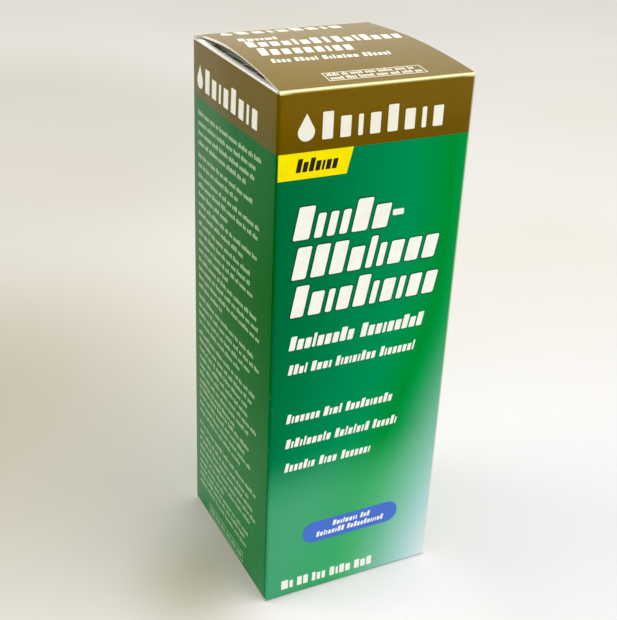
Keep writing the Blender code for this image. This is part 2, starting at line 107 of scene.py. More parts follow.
class Nodes:
    """Short ways to add and join the nodes of one tree."""

    def __init__(self, tree):
        self.tree = tree

    def add(self, kind, *values, **settings):
        """A new node; settings are its properties, and values feed its first sockets."""
        node = self.tree.nodes.new(kind)
        for name, value in settings.items():
            setattr(node, name, value)
        for socket, value in zip(node.inputs, values):
            self.feed(socket, value)
        return node

    def feed(self, socket, value):
        if isinstance(value, bpy.types.NodeSocket):
            self.tree.links.new(value, socket)
        else:
            socket.default_value = value

    def math(self, operation, *values, clamp=False):
        return self.add("ShaderNodeMath", *values, operation=operation, use_clamp=clamp).outputs[0]

    def span(self, value, low, high, to_low=0.0, to_high=1.0, kind="SMOOTHSTEP"):
        """value, mapped from low..high to to_low..to_high and held at the ends."""
        node = self.add("ShaderNodeMapRange", value, low, high, to_low, to_high, interpolation_type=kind)
        return node.outputs[0]

    def ramp(self, factor, stops, low, high):
        """A colour ramp over factor from low to high; stops are (value, display colour)."""
        node = self.add("ShaderNodeValToRGB", self.span(factor, low, high, kind="LINEAR"))
        elements = node.color_ramp.elements
        while len(elements) < len(stops):
            elements.new(0.5)
        for element, (value, colour) in zip(elements, stops):
            element.position = (value - low) / (high - low)
            element.color = srgb(*colour)
        return node.outputs[0]

    def mix(self, factor, first, second):
        node = self.add("ShaderNodeMix", factor, data_type="RGBA")
        self.feed(node.inputs[6], first)
        self.feed(node.inputs[7], second)
        return node.outputs[2]

    def where(self):
        """The point in object coordinates, in metres."""
        return self.add("ShaderNodeTexCoord").outputs["Object"]

    def noise(self, scale, detail=3.0, stretch=(1.0, 1.0, 1.0)):
        """Noise in object coordinates; scale is in waves per metre."""
        mapping = self.add("ShaderNodeMapping", self.where())
        self.feed(mapping.inputs["Scale"], stretch)
        node = self.add("ShaderNodeTexNoise", mapping.outputs[0])
        self.feed(node.inputs["Scale"], scale)
        self.feed(node.inputs["Detail"], detail)
        return node.outputs[0]

    def split(self, vector):
        """The x, y and z of a vector."""
        return self.add("ShaderNodeSeparateXYZ", vector).outputs


class Material(Nodes):
    """A Principled material, with the tools to build on it."""

    def __init__(self, name, colour, roughness=0.5, ior=1.5):
        self.data = bpy.data.materials.new(name)
        self.data.use_nodes = True
        super().__init__(self.data.node_tree)
        self.shader = self.data.node_tree.nodes["Principled BSDF"]
        self.set("Base Color", colour)
        self.set("Roughness", roughness)
        self.set("IOR", ior)

    def set(self, name, value):
        self.feed(self.shader.inputs[name], value)

    def bump(self, height, distance, strength):
        node = self.add("ShaderNodeBump")
        for name, value in (("Strength", strength), ("Distance", distance), ("Height", height)):
            self.feed(node.inputs[name], value)
        self.set("Normal", node.outputs[0])

    def coat(self):
        """The carton's gloss coating: a slightly uneven sheen and a faint ripple."""
        self.set("Roughness", self.span(self.noise(260.0, 4.0), 0.3, 0.7, 0.31, 0.35))
        self.bump(self.noise(90.0, 2.0), 0.02 * MM, 0.4)


# Upper and lower tones of the front, by distance right of the ridge line, in millimetres. The lower
# tones are lighter: the print with a painted reflection of the pale floor.
UPPER_TONES = [
    (-65, (0, 108, 66)), (-45, (0, 122, 75)), (-30, (0, 134, 84)),
    (-15, (8, 144, 88)), (-4, (0, 143, 68)), (0, (0, 141, 56)),
    (6, (26, 154, 82)), (12, (74, 167, 118)), (18, (110, 184, 152)),
    (24, (140, 192, 180)), (32, (170, 210, 208)), (44, (222, 234, 234)),
]
LOWER_TONES = [
    (-65, (70, 163, 118)), (-22, (74, 168, 122)), (-6, (64, 171, 111)),
    (0, (65, 174, 110)), (8, (80, 180, 120)), (16, (108, 190, 152)),
    (24, (142, 202, 184)), (32, (178, 216, 216)), (44, (228, 238, 242)),
]
GOLD = srgb(121, 96, 38)
GOLD_DARK = srgb(108, 86, 32)
SIDE_GOLD = srgb(112, 94, 34)
SIDE_GOLD_DARK = srgb(98, 90, 38)
COATING_IOR = 1.44


def front_tone(tools, across, height):
    """The green of a principal panel: dark at the left, a bright ridge, pale at the lower right."""
    across = tools.math("MULTIPLY", across, 1000.0)
    height = tools.math("MULTIPLY", height, 1000.0)
    ridge = tools.math("MULTIPLY_ADD", height, 0.35, -10.0)
    ridge = tools.math("SMOOTH_MIN", ridge, 28.0, 8.0)
    beyond = tools.math("SUBTRACT", across, ridge)
    upper = tools.ramp(beyond, UPPER_TONES, -65, 44)
    lower = tools.ramp(beyond, LOWER_TONES, -65, 44)
    # Lower down, the lighter lower tones take over: a painted reflection of the pale floor.
    return tools.mix(tools.span(height, 36.0, 65.0), lower, upper)


def side_tone(tools, height):
    """The green of a side wall, lighter towards its foot: a painted reflection of the pale floor."""
    height = tools.math("MULTIPLY", height, 1000.0)
    stops = [(0, (40, 136, 78)), (40, (34, 122, 66)), (80, (0, 110, 50)), (120, (0, 102, 38)),
             (168, (0, 108, 50))]
    return tools.ramp(height, stops, 0, 168)


def printed_board(wall, axis, sign):
    """A wall's gloss-coated print: green, the gold band with painted shading, cracked ink at the creases
    with painted shade along them, and a painted highlight on the front right crease.
    """
    mat = Material(f"{wall}_print", GOLD, roughness=0.3, ior=COATING_IOR)
    x, y, z = mat.split(mat.where())
    side = axis == "y"
    across = mat.math("MULTIPLY", y if side else x, sign)
    green = side_tone(mat, z) if side else front_tone(mat, across, z)
    drift = mat.noise(9.0, 2.0)
    light, deep = (SIDE_GOLD, SIDE_GOLD_DARK) if side else (GOLD, GOLD_DARK)
    # Painted shading: the gold is darker at the band's foot and lighter towards its top.
    gold = mat.mix(mat.span(z, 168.0 * MM, 184.0 * MM), deep, light)
    gold = mat.mix(mat.span(drift, 0.35, 0.65, 0.0, 0.25), gold, deep)
    colour = mat.mix(mat.math("GREATER_THAN", z, BAND_Z), green, gold)
    corner = mat.math("ADD", mat.math("ABSOLUTE", x), mat.math("ABSOLUTE", y))
    crease = mat.span(corner, CORNER - 1.6 * MM, CORNER - 0.7 * MM)
    cracks = mat.span(mat.noise(1400.0, 4.0, (1.0, 1.0, 0.25)), 0.56, 0.70)
    # Painted shade: a darker line along the vertical creases.
    colour = mat.mix(mat.math("MULTIPLY", crease, 0.12), colour, srgb(20, 50, 20))
    # Wear: pale cracked ink along the creases.
    crease_wear_and_highlight = mat.math("MULTIPLY", mat.math("MULTIPLY", crease, cracks), 0.05)
    colour = mat.mix(crease_wear_and_highlight, colour, srgb(214, 222, 196))
    # Painted highlight: a pale cream line down the front right crease.
    right_front = mat.math("SUBTRACT", x, y)
    painted_corner_highlight = mat.span(right_front, CORNER - 1.2 * MM, CORNER - 0.75 * MM)
    colour = mat.mix(mat.math("MULTIPLY", painted_corner_highlight, 0.45), colour, srgb(250, 246, 214))
    mat.set("Base Color", colour)
    dull = mat.span(z, 30.0 * MM, 140.0 * MM, 0.37, 0.24) if side else 0.38
    thinned = mat.span(across, -18.0 * MM, 4.0 * MM) if side else 1.0
    gloss = mat.math("MULTIPLY_ADD", thinned, mat.math("SUBTRACT", dull, 0.5), 0.5)
    mat.set("Specular IOR Level", gloss)
    mat.coat()
    return mat.data


def lid_board():
    """The lid's gold board, with the same coating and a painted highlight along its front crease."""
    mat = Material("lid_print", GOLD, roughness=0.3, ior=COATING_IOR)
    x, y, _ = mat.split(mat.where())
    gold = mat.mix(mat.span(y, -HALF_D, 0.0), srgb(124, 102, 16), srgb(127, 105, 28))
    gold = mat.mix(mat.span(mat.noise(14.0, 2.0), 0.35, 0.65, 0.0, 0.2), gold, GOLD_DARK)
    # Painted highlight along the front crease, a little broken by cracked ink.
    front = mat.span(y, -HALF_D + 1.0 * MM, -HALF_D + 0.5 * MM)
    front = mat.math("MULTIPLY", front, mat.span(y, -HALF_D - 0.02 * MM, -HALF_D + 0.22 * MM))
    cracks = mat.span(mat.noise(1200.0, 4.0, (0.25, 1.0, 1.0)), 0.55, 0.7)
    crease_wear_and_highlight = mat.math("MULTIPLY", front, mat.math("MULTIPLY_ADD", cracks, 0.15, 0.82))
    gold = mat.mix(crease_wear_and_highlight, gold, srgb(255, 250, 196))
    # A bare margin along the left edge, from nothing in front to 0.7 mm at the back.
    bare = mat.math("MULTIPLY_ADD", mat.span(y, -10.0 * MM, 24.0 * MM), -0.8 * MM, 0.1 * MM)
    slope = (LID_BACK_INSET - LID_FRONT_INSET) / LID_LENGTH
    edge = mat.math("MULTIPLY_ADD", y, slope, slope * HALF_D + LID_FRONT_INSET - HALF_W)
    margin = mat.math("LESS_THAN", mat.math("ADD", mat.math("SUBTRACT", x, edge), bare), 0.0)
    gold = mat.mix(margin, gold, srgb(222, 219, 202))
    mat.set("Base Color", gold)
    mat.coat()
    return mat.data


def tuck_board():
    """The tuck flap's outer side: the gold bleeds a little over the crease, then bare coating."""
    mat = Material("tuck_print", GOLD, roughness=0.35)
    _, _, z = mat.split(mat.where())
    edge = mat.math("MULTIPLY_ADD", mat.noise(500.0), 0.3 * MM, TUCK_BLEED_Z)
    colour = mat.mix(mat.math("GREATER_THAN", z, edge), srgb(236, 235, 228), GOLD)
    mat.set("Base Color", colour)
    mat.bump(mat.noise(1500.0, 5.0), 0.01 * MM, 0.35)
    return mat.data


def fibre_board(name, colour, dark, roughness, depth):
    """Unprinted board: mottled, with fine fibres."""
    mat = Material(name, colour, roughness=roughness)
    mottle = mat.span(mat.noise(320.0, 6.0), 0.35, 0.65)
    fibre = mat.span(mat.noise(900.0, 3.0, (1.0, 1.0, 0.2)), 0.45, 0.75)
    shade = mat.math("MULTIPLY_ADD", fibre, 0.35, mat.math("MULTIPLY", mottle, 0.4), clamp=True)
    mat.set("Base Color", mat.mix(shade, colour, dark))
    mat.set("Roughness", mat.span(mottle, 0.0, 1.0, roughness, roughness + 0.1))
    mat.bump(mat.noise(1100.0, 6.0), depth, 0.6)
    return mat.data


def ink(name, colour, roughness=0.32):
    """Printed ink under the coating, a little uneven in density."""
    mat = Material(name, colour, roughness=roughness, ior=1.48)
    dark = tuple(0.95 * part for part in colour[:3]) + (1.0,)
    density = mat.span(mat.noise(240.0), 0.3, 0.7)
    mat.set("Base Color", mat.mix(density, colour, dark))
    return mat.data


def moulded(name, colour, roughness, grain=900.0, depth=0.006 * MM, subsurface=0.0):
    """Moulded plastic with a fine skin and slightly uneven gloss."""
    mat = Material(name, colour, roughness=roughness)
    tint = tuple(0.93 * part for part in colour[:3]) + (1.0,)
    cloud = mat.span(mat.noise(55.0), 0.35, 0.65)
    mat.set("Base Color", mat.mix(cloud, colour, tint))
    gloss = mat.span(mat.noise(180.0, 4.0), 0.3, 0.7, roughness - 0.06, roughness + 0.07)
    mat.set("Roughness", gloss)
    if subsurface:
        mat.set("Subsurface Weight", subsurface)
        mat.set("Subsurface Radius", (1.0, 0.9, 0.8))
        mat.set("Subsurface Scale", 1.0 * MM)
    mat.bump(mat.noise(grain, 5.0), depth, 0.5)
    return mat.data


def label_print():
    """The bottle's label film, printed like the carton's front."""
    mat = Material("label_film", srgb(2, 120, 66), roughness=0.34)
    x, _, z = mat.split(mat.where())
    # The front's tones, with their painted floor reflection lower down.
    tone = front_tone(mat, x, mat.math("MULTIPLY_ADD", z, 1.35, -14.0 * MM))
    colour = mat.mix(mat.math("GREATER_THAN", z, LABEL_BAND_Z), tone, GOLD)
    mat.set("Base Color", colour)
    mat.bump(mat.noise(1000.0, 4.0), 0.005 * MM, 0.4)
    return mat.data


def clear_film():
    """The shrink band: thin, slightly milky film with a perforation line and vertical draw marks."""
    mat = Material("band_film", srgb(232, 242, 238), roughness=0.12, ior=1.45)
    mat.set("Transmission Weight", 0.85)
    x, y, z = mat.split(mat.where())
    angle = mat.math("ARCTAN2", mat.math("SUBTRACT", y, BOTTLE_Y), x)
    dots = mat.math("GREATER_THAN", mat.math("SINE", mat.math("MULTIPLY", z, 5200.0)), 0.2)
    stripe = mat.math("LESS_THAN", mat.math("ABSOLUTE", mat.math("ADD", angle, 1.57)), 0.03)
    mark = mat.math("MULTIPLY", dots, stripe)
    colour = mat.mix(mark, srgb(232, 242, 238), srgb(110, 160, 136))
    mat.set("Base Color", colour)
    mat.bump(mat.noise(420.0, 3.0, (1.0, 1.0, 0.12)), 0.03 * MM, 0.7)
    return mat.data


def liquid():
    """The contact lens solution: clear, with the faintest blue."""
    mat = Material("solution", srgb(226, 240, 246), roughness=0.03, ior=1.33)
    mat.set("Transmission Weight", 0.9)
    tone = mat.span(mat.noise(30.0, 2.0), 0.3, 0.7)
    mat.set("Base Color", mat.mix(tone, srgb(226, 240, 246), srgb(216, 234, 242)))
    return mat.data


PRINTS = {wall: printed_board(wall, axis, sign) for wall, axis, sign in (
    ("front", "x", 1.0), ("back", "x", -1.0), ("left", "y", -1.0), ("right", "y", 1.0))}
PRINT_LID = lid_board()
PRINT_TUCK = tuck_board()
INSIDE = fibre_board("board_inside", srgb(230, 229, 221), srgb(214, 211, 200), 0.75, 0.02 * MM)
EDGE = fibre_board("board_edge", srgb(224, 221, 206), srgb(200, 196, 180), 0.8, 0.03 * MM)
COATED = fibre_board("bare_coating", srgb(238, 238, 232), srgb(228, 227, 219), 0.42, 0.006 * MM)
WHITE_INK = ink("white_ink", srgb(252, 252, 247))
CREAM_INK = ink("cream_ink", srgb(246, 244, 232))
PALE_INK = ink("pale_ink", srgb(178, 210, 172))
OUTLINE_INK = ink("outline_ink", srgb(0, 62, 30))
YELLOW_INK = ink("yellow_ink", srgb(253, 236, 0))
BLACK_INK = ink("black_ink", srgb(40, 38, 36))
BLUE_INK = ink("blue_ink", srgb(72, 114, 212))


# ---- mesh tools
def add_mesh(name, bm, materials, body=None, smooth=True):
    """Make an object of bm; it rides on body, if one is given."""
    bmesh.ops.recalc_face_normals(bm, faces=bm.faces)
    mesh = bpy.data.meshes.new(name)
    bm.to_mesh(mesh)
    bm.free()
    if smooth:
        mesh.shade_smooth()
        mesh.set_sharp_from_angle(angle=math.radians(40.0))
    for mat in materials:
        mesh.materials.append(mat)
    obj = bpy.data.objects.new(name, mesh)
    bpy.context.scene.collection.objects.link(obj)
    if body:
        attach(obj, body)
    return obj


def add_print(name, bm, mat, body):
    """One object of ink, riding on the body of the board that it lies on."""
    add_mesh(name, bm, [mat], body, smooth=False)


def slab(name, outer, inner, print_mat, body=None):
    """A sheet of board between two grids of points: printed outside, plain inside, white edges."""
    bm = bmesh.new()
    rows, columns = len(outer), len(outer[0])
    top = [[bm.verts.new(point) for point in row] for row in outer]
    under = [[bm.verts.new(point) for point in row] for row in inner]
    for i in range(rows - 1):
        for j in range(columns - 1):
            corners = ((i, j), (i + 1, j), (i + 1, j + 1), (i, j + 1))
            bm.faces.new([top[a][b] for a, b in corners]).material_index = 0
            bm.faces.new([under[a][b] for a, b in reversed(corners)]).material_index = 1
    rim = [(i, 0) for i in range(rows - 1)] + [(rows - 1, j) for j in range(columns - 1)]
    rim += [(rows - 1 - i, columns - 1 - j) for i, j in rim]
    for (a, b), (c, d) in zip(rim, rim[1:] + rim[:1]):
        face = bm.faces.new((top[a][b], under[a][b], under[c][d], top[c][d]))
        face.material_index = 2
    return add_mesh(name, bm, [print_mat, INSIDE, EDGE], body)


def polygon_board(name, outline, place, print_mat, body):
    """A flat flap of board; place(u, v, depth) gives a point depth behind the outer face."""
    bm = bmesh.new()
    top = [bm.verts.new(place(u, v, 0.0)) for u, v in outline]
    under = [bm.verts.new(place(u, v, BOARD)) for u, v in outline]
    bm.faces.new(top).material_index = 0
    bm.faces.new(list(reversed(under))).material_index = 1
    for i in range(len(outline)):
        bm.faces.new((top[i - 1], under[i - 1], under[i], top[i])).material_index = 2
    return add_mesh(name, bm, [print_mat, INSIDE, EDGE], body, smooth=False)


def spread(low, high, steps):
    """Evenly spaced values from low to high, both ends included."""
    return [low + (high - low) * i / steps for i in range(steps + 1)]


def arc(u, v, radius, first, last, steps):
    """Points round (u, v), from first to last in degrees."""
    turns = [math.radians(degrees) for degrees in spread(first, last, steps)]
    return [(u + radius * math.cos(turn), v + radius * math.sin(turn)) for turn in turns]


# ---- carton walls
WALLS = {  # across axis, outward axis, half width, reach, bow
    "front": (RIGHT, -BACK, HALF_W, HALF_D, FRONT_BOW),
    "right": (BACK, RIGHT, HALF_D, HALF_W, SIDE_BOW),
    "back": (-RIGHT, BACK, HALF_W, HALF_D, FRONT_BOW),
    "left": (-BACK, -RIGHT, HALF_D, HALF_W, SIDE_BOW),
}


def belly(wall, across, z):
    """How far a wall bulges out at a point; nothing at its creases."""
    _, _, half, _, bow = WALLS[wall]
    wide = max(0.0, 1.0 - (across / (half - CREASE_RADIUS)) ** 2)
    tall = max(0.0, 1.0 - abs(2.0 * z / CREASE_Z - 1.0) ** 4)
    return bow * wide * tall


def wall_point(wall, across, z, lift):
    """A point on a wall's outer face, for print."""
    along, outward, _, reach, _ = WALLS[wall]
    return along * across + outward * (reach + belly(wall, across, z) + lift) + UP * z


def wall_columns(half):
    """Across a wall: (centre across, direction) pairs, with half of each corner's arc at the ends."""
    turn = [math.radians(degrees) for degrees in spread(45.0, 0.0, 4)[:-1]]
    flat = half - CREASE_RADIUS
    columns = [(-flat, -angle) for angle in turn]
    columns += [(centre, 0.0) for centre in spread(-flat, flat, 18)]
    columns += [(flat, angle) for angle in reversed(turn)]
    return columns


def make_wall(wall, low, high, roll_foot, corner_high=None):
    """One wall, with the rounded halves of its two vertical creases, which may stand taller."""
    along, outward, half, reach, _ = WALLS[wall]
    profile = []  # outward offset and height, outside and inside
    if roll_foot:
        centre = low + CREASE_RADIUS * math.sin(math.radians(60.0))
        for i in range(4):
            angle = math.radians(60.0 - 20.0 * i)
            row = []
            for radius in (CREASE_RADIUS, CREASE_RADIUS - BOARD):
                row += [radius * math.cos(angle) - CREASE_RADIUS, centre - radius * math.sin(angle)]
            profile.append(row)
        low = centre + 0.5 * MM
    profile += [[0.0, z, -BOARD, z] for z in spread(low, high, 30)]
    outer, inner = [], []
    for level in profile:
        out_offset, out_z, in_offset, in_z = level
        rows = ([], [])
        for centre, angle in wall_columns(half):
            direction = along * math.sin(angle) + outward * math.cos(angle)
            pivot = along * centre + outward * (reach - CREASE_RADIUS)
            swell = belly(wall, centre, out_z) * math.cos(angle)
            raised = corner_high if level is profile[-1] and abs(angle) > 0.5 else None
            for row, offset, z in ((rows[0], out_offset, out_z), (rows[1], in_offset, in_z)):
                place = pivot + direction * (CREASE_RADIUS + offset + swell)
                row.append(place + UP * (raised or z))
        outer.append(rows[0])
        inner.append(rows[1])
    obj = slab(f"{wall}_wall", outer, inner, PRINTS[wall], "carton")
    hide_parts(f"{wall}_panel")


def bend(first, first_way, last, last_way, steps):
    """A Bezier arc between two points with given end directions: (point, direction) pairs."""
    reach = (last - first).length * 0.39
    p1, p2 = first + first_way * reach, last - last_way * reach
    path = []
    for t in spread(0.0, 1.0, steps):
        point = first * (1 - t) ** 3 + p1 * 3 * t * (1 - t) ** 2
        point += p2 * 3 * t * t * (1 - t) + last * t ** 3
        way = (p1 - first) * (1 - t) ** 2 + (p2 - p1) * 2 * t * (1 - t) + (last - p2) * t * t
        path.append((point, way.normalized()))
    return path


def strip(name, path, width_axis, low, high, inward, print_mat):
    """A creased strip: path swept along width_axis, its inside towards the inward side."""
    outer, inner = [], []
    for point, way in path:
        normal = way.cross(width_axis)
        if normal.dot(inward) < 0:
            normal = -normal
        places = [width_axis * across for across in spread(low, high, 12)]
        outer.append([point + place for place in places])
        inner.append([point + place + normal.normalized() * BOARD for place in places])
    return slab(name, outer, inner, print_mat)


def cross_crease(name, half, start, first_way, end, last_way):
    """A crease across the lid, half wide each way, bent from start(x) to end(x)."""
    steps = 8
    outer, inner = [[] for _ in range(steps + 1)], [[] for _ in range(steps + 1)]
    for x in spread(-half, half, 14):
        for row, (point, way) in enumerate(bend(start(x), first_way, end(x), last_way, steps)):
            outer[row].append(point)
            inner[row].append(point + Vector((0, way.z, -way.y)).normalized() * BOARD)
    crease = slab(name, outer, inner, PRINT_LID)
    return crease


# ---- lid, tuck flap, dust flaps
def lid_rise(x, y):
    """Height of the lid's outer face above its front crease."""
    t = min(1.0, max(0.0, (y + HALF_D) / LID_LENGTH))
    share = 0.5 - x / (2 * HALF_W)
    bow = LID_RIGHT_BOW + (LID_LEFT_BOW - LID_RIGHT_BOW) * share
    inside = min(1.0, max(0.0, (x + lid_half_width(y)) / LID_DROOP_WIDTH))
    droop = LID_DROOP * (1 - inside) ** 2 * math.sin(0.5 * math.pi * t)
    return bow * math.sin(math.pi * t) ** 0.9 + LID_BACK_RISE * t - droop


def lid_half_width(y):
    t = (y + HALF_D) / LID_LENGTH
    return HALF_W - LID_FRONT_INSET - (LID_BACK_INSET - LID_FRONT_INSET) * t


def corner_round(x):
    """How far the front wall's rounded corners curve back from its face at x."""
    past = max(0.0, abs(x) - (HALF_W - CREASE_RADIUS))
    return CREASE_RADIUS - math.sqrt(CREASE_RADIUS ** 2 - past ** 2)


def lid_point(x, y, lift=0.0):
    return Vector((x, y, CREASE_Z + lid_rise(x, y) + lift))


def make_lid():
    """The bowed lid and the crease that joins it to the front wall; gives the lid's back end."""
    first, last = -HALF_D + CREASE_RADIUS, -HALF_D + LID_LENGTH - 0.7 * MM
    outer, inner = [], []
    for y in spread(first, last, 34):
        half = lid_half_width(y)
        row = [lid_point(x, y) for x in spread(-half, half, 14)]
        outer.append(row)
        inner.append([point - UP * BOARD for point in row])
    lid = slab("lid_board", outer, inner, PRINT_LID, "lid")
    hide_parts("lid_panel")

    half = lid_half_width(-HALF_D)
    low_z = CREASE_Z - CREASE_RADIUS
    crease = cross_crease(
        "lid_crease", half, lambda x: Vector((x, -HALF_D + corner_round(x), low_z)),
        UP, lambda x: lid_point(x * lid_half_width(first) / half, first), Vector((0, 0.98, 0.2)),
    )
    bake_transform(crease)
    return last


def make_tuck_flap(lid_end):
    """The tuck flap with its two rounded corners, and the crease that joins it to the lid."""
    down = Vector((0, -math.sin(TUCK_LEAN), -math.cos(TUCK_LEAN)))
    inward = Vector((0, down.z, -down.y))
    top = Vector((0, -HALF_D + LID_LENGTH, CREASE_Z + LID_BACK_RISE)) + down * 0.9 * MM
    half = HALF_W - LID_BACK_INSET - 0.3 * MM
    depth = TUCK_DEPTH - 0.1 * MM
    outline = [(half, 0.0), (-half, 0.0)]
    for centre, first in ((-half + TUCK_RADIUS, 180.0), (half - TUCK_RADIUS, 90.0)):
        outline += arc(centre, depth - TUCK_RADIUS, TUCK_RADIUS, first, first - 90.0, 12)

    def place(u, v, behind):
        return top + RIGHT * u + down * v + inward * behind

    flap = polygon_board("tuck_board", outline, place, PRINT_TUCK, "tuck")
    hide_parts("tuck_flap")
    crease = cross_crease(
        "tuck_crease", half, lambda x: lid_point(x * lid_half_width(lid_end) / half, lid_end),
        Vector((0, 0.99, -0.12)), lambda x: top + RIGHT * x, down,
    )
    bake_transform(crease)


def dust_height(u):
    """Height of a dust flap's upper face, u in from the side wall's outer face."""
    share = min(1.0, max(0.0, (u - DUST_CREASE_RADIUS) / DUST_FALL))
    return DUST_TOP + DUST_RISE * (1 - share * share * (3 - 2 * share))


def make_dust_flap(side, name):
    """A side flap under the lid, its bare coated side up, and its springy crease on the side wall."""
    low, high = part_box(f"dust_flap_{name}")
    reach = high.x - low.x
    front, back = -HALF_D + DUST_FRONT_CLEAR, high.y - DUST_CREASE_RADIUS / DUST_BACK_SLOPE
    far_front, far_back = low.y + reach / DUST_FRONT_SLOPE, high.y - reach / DUST_BACK_SLOPE
    start = DUST_CREASE_RADIUS
    outer, inner = [], []
    for step in spread(0.0, 1.0, 16):
        t = step ** 1.5
        u = start + (reach - start) * t
        first, last = front + (far_front - front) * t, back + (far_back - back) * t
        x, z = side * (HALF_W - u), dust_height(u)
        row = [Vector((x, y, z)) for y in spread(first, last, 18)]
        outer.append(row)
        inner.append([point - UP * BOARD for point in row])
    flap = slab(f"dust_board_{name}", outer, inner, COATED, f"dust_{name}")
    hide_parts(f"dust_flap_{name}")
    foot = Vector((side * HALF_W, 0, DUST_TOP + DUST_RISE - start))
    head = Vector((side * (HALF_W - start), 0, DUST_TOP + DUST_RISE))
    path = bend(foot, UP, head, RIGHT * -side, 8)
    crease = strip(
        f"dust_crease_{name}", path, BACK, -HALF_D + DUST_CREASE_CLEAR, back,
        Vector((-side, 0, -1)), COATED,
    )
    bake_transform(crease)


def make_bottom():
    """The outer bottom flap with its crease up to the front wall."""
    low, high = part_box("bottom_outer_flap")
    foot = Vector((0, -HALF_D, CREASE_RADIUS))
    head = Vector((0, -HALF_D + CREASE_RADIUS, low.z))
    path = bend(foot, -UP, head, BACK, 6)
    path += [(head + BACK * reach, BACK) for reach in spread(0.0, high.y - head.y, 8)[1:]]
    flap = strip("bottom_board", path, RIGHT, low.x, high.x, BACK + UP, PRINTS["front"])
    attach(flap, "carton")
    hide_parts("bottom_outer_flap")


# ---- print: places and sizes on a face are in millimetres, up to plate
PLATE_STEP = 2.0  # cells of an ink plate, so that it follows its face
OUTLINE = 0.32
LINE_PITCH = 3.45


def cut_sheet(outline):
    """A flat face of the given outline, cut both ways into cells about one step wide."""
    sheet = bmesh.new()
    sheet.faces.new([sheet.verts.new((u, v, 0.0)) for u, v in outline])
    for axis, normal in enumerate((RIGHT, BACK)):
        low, high = min(point[axis] for point in outline), max(point[axis] for point in outline)
        for at in spread(low, high, math.ceil((high - low) / PLATE_STEP))[1:-1]:
            parts = sheet.verts[:] + sheet.edges[:] + sheet.faces[:]
            bmesh.ops.bisect_plane(sheet, geom=parts, dist=1e-3, plane_co=normal * at, plane_no=normal)
    return sheet


def plate(bm, outline, place):
    """One closed ink plate that follows its face; place(u, v, lift) is a point above the face,
    and takes metres.
    """
    sheet = cut_sheet(outline)
    top, under = [
        {vert: bm.verts.new(place(vert.co.x * MM, vert.co.y * MM, lift)) for vert in sheet.verts}
        for lift in (INK_PROUD, -INK_SUNK)
    ]
    for face in sheet.faces:
        bm.faces.new([top[vert] for vert in face.verts])
        bm.faces.new([under[vert] for vert in reversed(face.verts)])
    for edge in sheet.edges:
        if edge.is_boundary:
            loop = edge.link_loops[0]
            first, second = loop.vert, loop.link_loop_next.vert
            bm.faces.new((top[first], under[first], under[second], top[second]))
    sheet.free()


def block(low_u, low_v, high_u, high_v, radius, slant=0.0, base=0.0, steps=3):
    """A rounded upright bar, leaning right by slant above base."""
    radius = min(radius, 0.49 * (high_u - low_u), 0.49 * (high_v - low_v))
    corners = (
        (high_u - radius, high_v - radius, 0.0), (low_u + radius, high_v - radius, 90.0),
        (low_u + radius, low_v + radius, 180.0), (high_u - radius, low_v + radius, 270.0),
    )
    points = []
    for u, v, first in corners:
        turn = arc(u, v, radius, first, first + 90.0, steps)
        points += [(x + slant * (y - base), y) for x, y in turn]
    return points


def word_bars(low, high, base, x_height, cap_height, stem, gap, dice):
    """Plain blocks that stand for a word: (low u, low v, high u, high v) of each."""
    letter = 2 * stem
    count = max(1, round((high - low + gap) / (letter + gap)))
    widths = [1.0] + [dice.choice((1.0, 1.0, 1.0, 0.5)) for _ in range(count - 1)]
    unit = (high - low - gap * (count - 1)) / sum(widths)
    bars, at = [], low
    for k, width in enumerate(widths):
        tall = cap_height if k == 0 or dice.random() < 0.2 else x_height
        bars.append((at, base, at + width * unit, base + tall))
        at += width * unit + gap
    return bars


def print_words(name, place, rows, sizes, mat, body, seed, slant=ITALIC, outline_mat=None):
    """Words as plain bars: rows are (base v, [(low u, high u), ...]), and sizes are the
    x height, the cap height, a stem and a gap.
    """
    dice = random.Random(seed)
    bm, halo = bmesh.new(), bmesh.new()
    stem = sizes[2]
    for base, spans in rows:
        for low, high in spans:
            for bar in word_bars(low, high, base, *sizes, dice):
                plate(bm, block(*bar, 0.3 * stem, slant, base), place)
                if outline_mat:
                    low_u, low_v, high_u, high_v = bar
                    wide = (low_u - OUTLINE, low_v - OUTLINE, high_u + OUTLINE, high_v + OUTLINE)
                    plate(halo, block(*wide, 0.45 * stem, slant, base),
                          lambda u, v, lift: place(u, v, lift - OUTLINE_SUNK))
    if outline_mat:
        add_print(f"{name}_outline", halo, outline_mat, body)
    else:
        halo.free()
    add_print(name, bm, mat, body)


def rectangle(low_u, low_v, high_u, high_v):
    return [(low_u, low_v), (high_u, low_v), (high_u, high_v), (low_u, high_v)]


def small_word(bm, place, low, high, base, x_height, pitch, dice):
    """A word too small to read: a row of ticks, some of them taller."""
    count = max(2, round((high - low) / pitch))
    step = (high - low) / count
    for k in range(count):
        left, right = low + k * step, low + (k + 0.62) * step
        top = base + x_height * (1.35 if dice.random() < 0.25 else 1.0)
        plate(bm, rectangle(left, base, right, top), place)


def print_paragraphs(name, place, paragraphs, left, longest, body, mat, seed):
    """Ragged lines of small words; paragraphs is a list of (first base, lines, pitch)."""
    dice = random.Random(seed)
    bm = bmesh.new()
    for base, lines, pitch in paragraphs:
        for k in range(lines):
            end = longest - dice.uniform(0.0, 9.0)
            if k == lines - 1 and lines > 1:
                end = left + (longest - left) * dice.uniform(0.35, 0.8)
            at = left
            while at < end - 2.0:
                stop = min(at + dice.uniform(2.2, 8.2), end)
                small_word(bm, place, at, stop, base - k * pitch, 1.25, 1.0, dice)
                at = stop + 0.8
    add_print(name, bm, mat, body)


